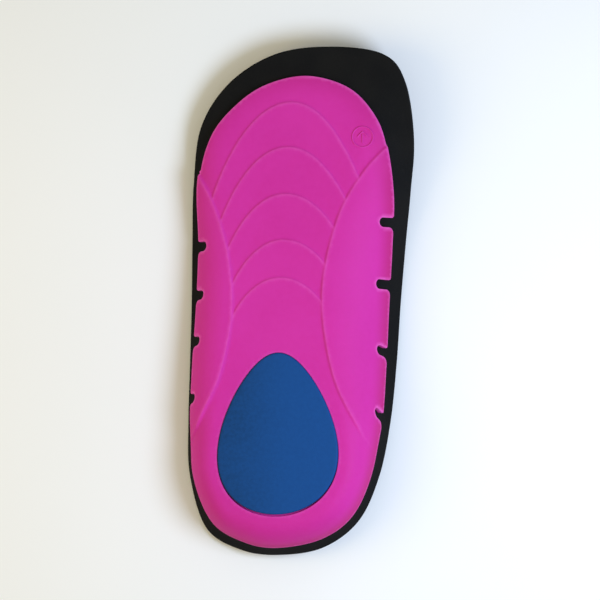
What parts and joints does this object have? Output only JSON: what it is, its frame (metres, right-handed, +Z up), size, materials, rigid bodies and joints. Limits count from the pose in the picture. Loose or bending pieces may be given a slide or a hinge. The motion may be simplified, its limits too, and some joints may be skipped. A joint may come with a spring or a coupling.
{
  "type": "cushioned insole",
  "caption": "Three-quarter-length cushioned insole with a moulded arch shell, deep heel cup, egg-shaped heel pad and foam and fabric top layers.",
  "frame": {"origin": "on the surface the insole lies on, below the middle of its bounding box, with the insole lying sole side up", "axes": "+Y from heel to toe, +X to the inner (arch) side of the foot, +Z up out of the sole. The sole plane leans 2.8 degrees about X and 6.5 degrees about Y, which is how the insole lies on its arch flange and heel and outer rims. Turned over about Y it goes in the shoe, heel pad down."},
  "size_m": [0.089, 0.2006, 0.0261],
  "materials": {
    "heel_pad": "smooth matte soft foam rubber, blue",
    "base_shell": "satin moulded EVA, magenta pink",
    "cushion_layer": "fine-grained matte closed-cell foam, black",
    "top_cover": "matte knitted fabric, black"
  },
  "bodies": {
    "root": {"heel_pad": "heel_pad", "base_shell": "base_shell", "cushion_layer": "cushion_layer", "top_cover": "top_cover"}
  },
  "joints": []
}
